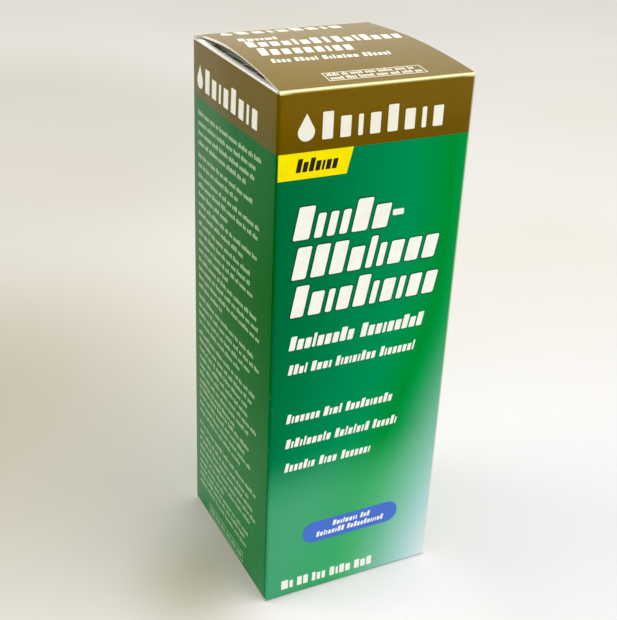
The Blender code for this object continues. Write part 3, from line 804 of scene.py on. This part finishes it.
def frame_box(bm, place, box, line):
    """A box of four thin bars; box is (low u, low v, high u, high v)."""
    low_u, low_v, high_u, high_v = box
    for v in (low_v, high_v - line):
        plate(bm, rectangle(low_u, v, high_u, v + line), place)
    for u in (low_u, high_u - line):
        plate(bm, rectangle(u, low_v + line, u + line, high_v - line), place)


def drop_outline(centre_u, low_v, height):
    """A water drop, point up."""
    radius = 0.33 * height
    return [(centre_u, low_v + height)] + arc(centre_u, low_v + radius, radius, 140.0, 400.0, 16)


def emblem(name, place, box, body):
    """A plain heading: a drop, then even upright blocks; box as for frame_box."""
    bm = bmesh.new()
    low_u, low_v, high_u, high_v = box
    height = high_v - low_v
    plate(bm, drop_outline(low_u + 0.33 * height, low_v, height), place)
    at = low_u + 0.95 * height
    widths = (0.62, 0.62, 0.28, 0.62, 0.62, 0.62, 0.28, 0.62)
    gap = 0.29 * height
    unit = (high_u - at - gap * (len(widths) - 1)) / sum(widths)
    for k, width in enumerate(widths):
        tall = high_v if k in (0, 4) else low_v + 0.78 * height
        plate(bm, block(at, low_v, at + width * unit, tall, 0.35), place)
        at += width * unit + gap
    add_print(name, bm, CREAM_INK, body)


def single(name, outline, place, mat):
    """One flat shape of ink on the carton."""
    bm = bmesh.new()
    plate(bm, outline, place)
    add_print(name, bm, mat, "carton")


def principal_print(wall):
    """The print of the front, and of the back, which repeats it."""
    place = partial(wall_point, wall)

    def above(u, v, lift):
        return place(u, v, lift + INK_OVER)

    def words(part, rows, sizes, seed, mat=WHITE_INK, **settings):
        print_words(f"{wall}_{part}", above, rows, sizes, mat, "carton", seed, **settings)

    emblem(f"{wall}_emblem", place, (-27, 171.6, 22.5, 180), "carton")
    tab = [(-33.0, 160.0), (-10.2, 160.0), (-8.2, 168.3), (-33.0, 168.3)]
    single(f"{wall}_tab", tab, place, YELLOW_INK)
    words("tab_word", [(162.2, [(-27.3, -13.8)])], (3.1, 4.2, 0.75, 0.55), 5, BLACK_INK)
    title = [(140.3, [(-27.5, 5.2)]), (127.0, [(-27.5, 24.0)]), (113.8, [(-27.5, 25.0)])]
    words("title", title, (8.0, 10.8, 2.0, 1.6), 11, outline_mat=OUTLINE_INK)
    dash = block(7.2, 143.8, 11.2, 145.8, 0.4)
    single(f"{wall}_title_dash", dash, above, WHITE_INK)
    words("subtitle", [(102.0, [(-27.5, -4.5), (-1.7, 21.7)])], (3.7, 5.0, 0.95, 0.7), 7)
    second = [(93.0, [(-27.5, -21.0), (-19.3, -12.0), (-10.3, 4.4), (6.3, 19.5)])]
    words("second_line", second, (2.6, 3.6, 0.62, 0.55), 8)
    features = [
        (74.3, [(-27.5, -15.4), (-13.8, -7.2), (-5.4, 12.4)]),
        (64.4, [(-27.5, -10.8), (-9.0, 4.0), (5.7, 15.0)]),
        (54.8, [(-27.5, -16.4), (-14.5, -8.0), (-6.0, 5.2)]),
    ]
    words("features", features, (2.5, 3.5, 0.62, 0.55), 9)
    pill = block(-19.4, 21.2, 19.0, 30.2, 4.5, steps=10)
    single(f"{wall}_pill", pill, place, BLUE_INK)
    pill_words = [(26.5, [(-7.6, 2.2), (3.6, 7.2)]), (23.2, [(-14.0, -3.0), (-1.6, 13.0)])]
    words("pill_words", pill_words, (1.6, 2.2, 0.42, 0.4), 10)
    contents = [(3.3, [(-27.0, -22.4), (-20.7, -16.4), (-14.7, -9.4), (-7.5, 0.9), (2.7, 9.8)])]
    words("contents", contents, (3.3, 3.9, 0.85, 0.6), 12, slant=0.0)


SIDE_PARAGRAPHS = [  # first base line, lines
    (162.3, 4), (147.4, 2), (140.2, 3), (129.7, 2), (122.4, 4), (108.5, 4), (93.7, 4),
    (79.0, 7), (55.5, 4), (39.5, 1), (35.5, 5), (18.5, 1), (15.5, 1), (12.0, 1),
]


def side_print(wall, seed):
    """A side wall's heading, small print and foot box."""
    place = partial(wall_point, wall)
    emblem(f"{wall}_emblem", place, (-29.5, 171.4, 20, 179.3), "carton")
    paragraphs = [(first, lines, LINE_PITCH) for first, lines in SIDE_PARAGRAPHS]
    print_paragraphs(f"{wall}_small_print", place, paragraphs, -28.5, 26.0, "carton", PALE_INK, seed)
    bm = bmesh.new()
    frame_box(bm, place, (-19, 2.7, 14, 7.5), 0.35)
    dice = random.Random(seed)
    for k in range(6):
        low = -17.5 + 5.2 * k
        small_word(bm, place, low, low + 4.4, 4.3, 1.5, 0.95, dice)
    add_print(f"{wall}_foot_box", bm, PALE_INK, "carton")


def lid_print():
    """The lid's heading, title, line and outlined box."""
    def words(name, rows, sizes, seed):
        print_words(name, lid_point, rows, sizes, CREAM_INK, "lid", seed)

    emblem("lid_emblem", lid_point, (-26.5, 24.6, 17.5, 30.8), "lid")
    words("lid_word", [(12.3, [(-26.0, -12.6)])], (3.1, 4.3, 0.8, 0.55), 21)
    title = [(3.4, [(-26.5, -1.0), (0.6, 2.2), (4.0, 28.6)]), (-6.2, [(-26.5, 5.4)])]
    words("lid_title", title, (5.7, 7.8, 1.35, 1.15), 22)
    line = [(-13.2, [(-26.0, -19.8), (-18.2, -10.6), (-8.8, 3.4), (5.2, 14.8)])]
    words("lid_line", line, (2.5, 3.4, 0.62, 0.5), 23)
    bm = bmesh.new()
    frame_box(bm, lid_point, (-15.3, -29.8, 18.3, -24.0), 0.3)
    dice = random.Random(24)
    for base in (-26.4, -29.0):
        at = -14.2
        while at < 15.6:
            stop = min(at + dice.uniform(1.8, 5.2), 17.2)
            small_word(bm, lid_point, at, stop, base, 1.5, 0.8, dice)
            at = stop + 0.8
    add_print("lid_box", bm, CREAM_INK, "lid")


def dust_print():
    """One line of plain black blocks on the left dust flap."""
    def place(u, v, lift):
        return Vector((v - HALF_W, -u, dust_height(v) + lift))

    row = [(2.1, [(-23.0, -12.5), (-11.0, 1.0), (2.5, 11.0), (12.5, 19.0)])]
    sizes = (2.1, 2.1, 0.38, 0.55)
    print_words("dust_print", place, row, sizes, BLACK_INK, "dust_left", 31, slant=0.0)


# ---- bottle
BOTTLE_LOW, BOTTLE_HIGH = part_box("bottle_body")
BOTTLE_HALF_W = BOTTLE_HIGH.x
BOTTLE_HALF_D = (BOTTLE_HIGH.y - BOTTLE_LOW.y) / 2
BOTTLE_Y = (BOTTLE_HIGH.y + BOTTLE_LOW.y) / 2
SQUARENESS = 3.2  # exponent of the body's superellipse section
BOTTLE_WALL = 1.0 * MM
SHOULDER_Z, NECK_BASE_Z = 131.0 * MM, 149.5 * MM
NECK_RADIUS, NECK_BORE = 10.9 * MM, 9.0 * MM
THREAD_PITCH, THREAD_HEIGHT, THREAD_TURNS = 3.18 * MM, 1.0 * MM, 1.5


def oval_reach(cosine, sine, half_w, half_d, exponent):
    return (abs(cosine / half_w) ** exponent + abs(sine / half_d) ** exponent) ** (-1 / exponent)


def oval(half_w, half_d, exponent, z, sides=96):
    """A superellipse round the bottle's axis."""
    points = []
    for cosine, sine in arc(0.0, 0.0, 1.0, 0.0, 360.0, sides)[:-1]:
        reach = oval_reach(cosine, sine, half_w, half_d, exponent)
        points.append(Vector((reach * cosine, BOTTLE_Y + reach * sine, z)))
    return points


def body_oval(inset, z):
    return oval(BOTTLE_HALF_W - inset, BOTTLE_HALF_D - inset, SQUARENESS, z)


def shoulder(wall, steps=18):
    """Ovals from the straight body in to the neck, for the outside or, with a wall, the inside."""
    inner = NECK_RADIUS - wall
    loops = []
    for i in range(1, steps):
        t = math.sin(math.pi / 2 * i / steps)
        keep = math.sqrt(1 - t ** 2.2)
        half_w = inner + (BOTTLE_HALF_W - NECK_RADIUS) * keep
        half_d = inner + (BOTTLE_HALF_D - NECK_RADIUS) * keep
        z = SHOULDER_Z + (NECK_BASE_Z - SHOULDER_Z) * t - wall
        loops.append(oval(half_w, half_d, 2.0 + (SQUARENESS - 2.0) * (1 - t), z))
    return loops


def add_loft(bm, loops):
    """A closed skin through loops of equally many points, with flat ends."""
    rows = [[bm.verts.new(point) for point in loop] for loop in loops]
    bm.faces.new(list(reversed(rows[0])))
    bm.faces.new(rows[-1])
    for lower, upper in zip(rows, rows[1:]):
        for i in range(len(lower)):
            bm.faces.new((lower[i - 1], lower[i], upper[i], upper[i - 1]))


def add_thread(bm, low_z, sides=48):
    """The neck's thread ridge, fading out at both ends."""
    loops = []
    count = int(THREAD_TURNS * sides)
    for i in range(count + 1):
        angle = 2 * math.pi * i / sides
        radial = Vector((math.cos(angle), math.sin(angle), 0))
        middle = Vector((0, BOTTLE_Y, low_z + THREAD_PITCH * i / sides))
        crest = NECK_RADIUS + THREAD_HEIGHT * min(1.0, 0.25 + min(i, count - i) / 6)
        root = NECK_RADIUS - 0.3 * MM
        loops.append([
            middle + radial * radius + UP * offset * MM
            for radius, offset in ((root, -0.65), (crest, -0.3), (crest, 0.3), (root, 0.65))
        ])
    add_loft(bm, loops)


def make_bottle():
    """The bottle's skin: pushed-up base, rounded foot, oval body, shoulder and threaded neck."""
    low, top, foot = BOTTLE_LOW.z, BOTTLE_HIGH.z, 3.4 * MM
    loops = [body_oval(11.0 * MM, low + 2.0 * MM), body_oval(4.6 * MM, low + 0.25 * MM)]
    for k in range(9):
        turn = math.pi * k / 16
        loops.append(body_oval(foot * (1 - math.sin(turn)), low + foot * (1 - math.cos(turn))))
    loops.append(body_oval(0.0, SHOULDER_Z))
    loops += shoulder(0.0)
    for radius, z in ((NECK_RADIUS, NECK_BASE_Z), (NECK_RADIUS, top - 0.3 * MM),
                      (NECK_RADIUS - 0.3 * MM, top), (NECK_BORE, top),
                      (NECK_BORE, NECK_BASE_Z - BOTTLE_WALL)):
        loops.append(oval(radius, radius, 2.0, z))
    loops += reversed(shoulder(BOTTLE_WALL))
    loops += [body_oval(BOTTLE_WALL, SHOULDER_Z), body_oval(BOTTLE_WALL, low + 4.4 * MM),
              body_oval(4.0 * MM, low + 3.0 * MM), body_oval(11.0 * MM, low + 3.0 * MM)]
    bm = bmesh.new()
    add_loft(bm, loops)
    add_thread(bm, top - 6.8 * MM)
    plastic = moulded("bottle_plastic", srgb(232, 234, 230), 0.4, subsurface=0.15)
    bottle = add_mesh("bottle_skin", bm, [plastic], "bottle")
    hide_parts("bottle_body")


def label_words(node, side):
    """Blocks of print on a bottle label, wrapped round it."""
    half_w, half_d = BOTTLE_HALF_W + 0.3 * MM, BOTTLE_HALF_D + 0.3 * MM

    def place(u, v, lift):
        angle = u / half_w
        sine, cosine = math.sin(angle), math.cos(angle)
        reach = oval_reach(sine, cosine, half_w, half_d, SQUARENESS) + lift
        return Vector((side * -reach * sine, BOTTLE_Y + side * reach * cosine, v))

    emblem(f"{node}_emblem", place, (-17, 111, 15, 117.5), "bottle")
    title = [(91.0, [(-18.0, 14.0)]), (81.0, [(-18.0, 16.0)]), (71.0, [(-18.0, 10.0)])]
    print_words(f"{node}_title", place, title, (5.6, 7.6, 1.6, 0.85), WHITE_INK, "bottle", 41)
    lines = [(52.0, 3, 4.2), (34.0, 3, 3.4)]
    print_paragraphs(f"{node}_lines", place, lines, -18, 18, "bottle", WHITE_INK, 43)


# ---- contents
def paint(node, mat):
    """Give a CAD node's every material slot the one material."""
    materials = NODES[node].data.materials
    if materials:
        for i in range(len(materials)):
            materials[i] = mat
    else:
        materials.append(mat)


def paint_contents():
    """Materials of the CAD nodes that are kept."""
    case = moulded("case_plastic", srgb(236, 238, 237), 0.38, subsurface=0.1)
    cap = moulded("cap_plastic", srgb(232, 234, 233), 0.38)
    green_cap = moulded("lens_cap_green", srgb(22, 132, 86), 0.38)
    tip = moulded("tip_plastic", srgb(228, 232, 230), 0.42, subsurface=0.3)
    foam = moulded("seal_foam", srgb(226, 226, 220), 0.8, grain=2500.0, depth=0.05 * MM)
    for nodes, mat in (
        ("lens_case_base", case), ("screw_cap lens_cap_left", cap), ("lens_cap_right", green_cap),
        ("dispensing_tip", tip), ("cap_seal", foam), ("front_label back_label", label_print()),
        ("neck_band", clear_film()), ("lens_solution", liquid()),
        ("glue_flap bottom_inner_flap bottom_dust_flap_left bottom_dust_flap_right", INSIDE),
    ):
        for node in nodes.split():
            paint(node, mat)


# ---- stage, light and camera
AZIMUTH, ELEVATION, ROLL = math.radians(-27.28), math.radians(27.36), math.radians(2.559)
CAMERA_DISTANCE = 0.39365
CAMERA_TARGET = Vector((-0.003549, 0.0, 0.0960))
CAMERA_LENS = 64.57


def make_camera():
    """The camera as solved from the photo."""
    data = bpy.data.cameras.new("camera")
    data.lens = CAMERA_LENS
    data.sensor_width = 36.0
    data.clip_start, data.clip_end = 0.01, 20.0
    away = RIGHT * math.sin(AZIMUTH) - BACK * math.cos(AZIMUTH)
    away = away * math.cos(ELEVATION) + UP * math.sin(ELEVATION)
    right = (-away).cross(UP).normalized()
    up = right.cross(-away)
    turn = Matrix((right, up, away)).transposed() @ Matrix.Rotation(ROLL, 3, "Z")
    camera = bpy.data.objects.new("camera", data)
    camera.matrix_world = Matrix.Translation(CAMERA_TARGET + away * CAMERA_DISTANCE) @ turn.to_4x4()
    bpy.context.scene.collection.objects.link(camera)
    bpy.context.scene.camera = camera


FLOOR_RADIUS = 4.0
FLOOR = srgb(221, 220, 218)
# Painted light and shade on the floor paper, one patch a row.
FLOOR_PATCHES = [  # middle, full within, none beyond, share, colour
    # A painted shadow to the left of and behind the carton.
    ((-0.12, 0.16), 0.0, 0.24, 0.85, srgb(176, 170, 150)),
    # Painted shade far behind.
    ((-0.02, 0.50), 0.12, 0.30, 0.65, srgb(196, 193, 182)),
    # A painted pool of light to the right front.
    ((0.10, -0.05), 0.03, 0.20, 1.0, srgb(227, 227, 231)),
    # A painted contact shadow at the left wall's foot.
    ((-0.046, -0.017), 0.0, 0.044, 0.70, srgb(176, 170, 140)),
    # A painted pool of light just in front of the front wall.
    ((-0.004, -0.048), 0.010, 0.066, 1.0, srgb(244, 238, 243)),
]


def make_floor():
    """A wide sheet of off-white paper, shaded as the photo's is."""
    bm = bmesh.new()
    bmesh.ops.create_circle(bm, cap_ends=True, segments=64, radius=FLOOR_RADIUS)
    floor = add_mesh("floor", bm, [], smooth=False)
    floor.location.z = -0.1 * MM
    mat = Material("floor_paper", FLOOR, roughness=0.7)
    tone = mat.mix(mat.span(mat.noise(4.0, 2.0), 0.3, 0.7), FLOOR, srgb(218, 216, 210))
    # Each patch paints light or shade into the paper's colour.
    for (x, y), full, none, share, colour in FLOOR_PATCHES:
        away = mat.add("ShaderNodeVectorMath", mat.where(), (x, y, 0.0), operation="DISTANCE")
        tone = mat.mix(mat.span(away.outputs["Value"], full, none, share, 0.0), tone, colour)
    mat.set("Base Color", tone)
    floor.data.materials.append(mat.data)


ROOM_LEFT, ROOM_RIGHT, ROOM_BEHIND = 0.46, 0.72, 0.40


def soft_light(name, location, size, watts, colour):
    """A square soft light, turned to the middle of the object."""
    data = bpy.data.lights.new(name, "AREA")
    data.size = size
    data.energy = watts
    data.color = colour
    light = bpy.data.objects.new(name, data)
    light.location = location
    light.rotation_mode = "QUATERNION"
    towards = light.location - UP * CREASE_Z / 2
    light.rotation_quaternion = towards.to_track_quat("Z", "Y")
    bpy.context.scene.collection.objects.link(light)


def make_light():
    """A broad soft key from above, right and front, in a pale room that is brighter behind."""
    soft_light("key", (0.64, -0.62, 1.35), 1.7, 18.5, (1.0, 0.99, 0.97))
    soft_light("fill", (-0.85, 0.42, 0.80), 0.7, 4.6, (1.0, 0.98, 0.95))
    world = bpy.data.worlds.new("room")
    world.use_nodes = True
    tools = Nodes(world.node_tree)
    direction = tools.add("ShaderNodeTexCoord").outputs["Generated"]
    sideways = tools.span(tools.split(direction)[0], -1.0, 0.6, ROOM_LEFT, ROOM_RIGHT)
    bright = Vector((0.40, 0.88, 0.26)).normalized()
    dot = tools.add("ShaderNodeVectorMath", direction, bright, operation="DOT_PRODUCT")
    behind = tools.span(dot.outputs["Value"], 0.3, 0.95, 0.0, ROOM_BEHIND)
    background = world.node_tree.nodes["Background"]
    background.inputs["Color"].default_value = (1.0, 0.975, 0.93, 1.0)
    tools.feed(background.inputs["Strength"], tools.math("ADD", sideways, behind))
    bpy.context.scene.world = world


def set_view():
    """Plain display colours with the blacks set as a camera sets them."""
    view = bpy.context.scene.view_settings
    view.view_transform = "Standard"
    view.look = "None"
    view.use_curve_mapping = True
    view.curve_mapping.black_level = (0.035, 0.035, 0.035)
    view.curve_mapping.update()


def main():
    make_camera()
    side_high = DUST_TOP + DUST_RISE - DUST_CREASE_RADIUS
    make_wall("front", CREASE_RADIUS, CREASE_Z - CREASE_RADIUS, False, side_high)
    make_wall("back", WALL_BOTTOM, BACK_TOP, True)
    make_wall("left", WALL_BOTTOM, side_high, True)
    make_wall("right", WALL_BOTTOM, side_high, True)
    make_bottom()
    lid_end = make_lid()
    make_tuck_flap(lid_end)
    make_dust_flap(-1, "left")
    make_dust_flap(1, "right")
    principal_print("front")
    principal_print("back")
    side_print("left", 51)
    side_print("right", 52)
    lid_print()
    dust_print()
    make_bottle()
    label_words("front_label", -1)
    label_words("back_label", 1)
    paint_contents()
    make_floor()
    make_light()
    set_view()


main()
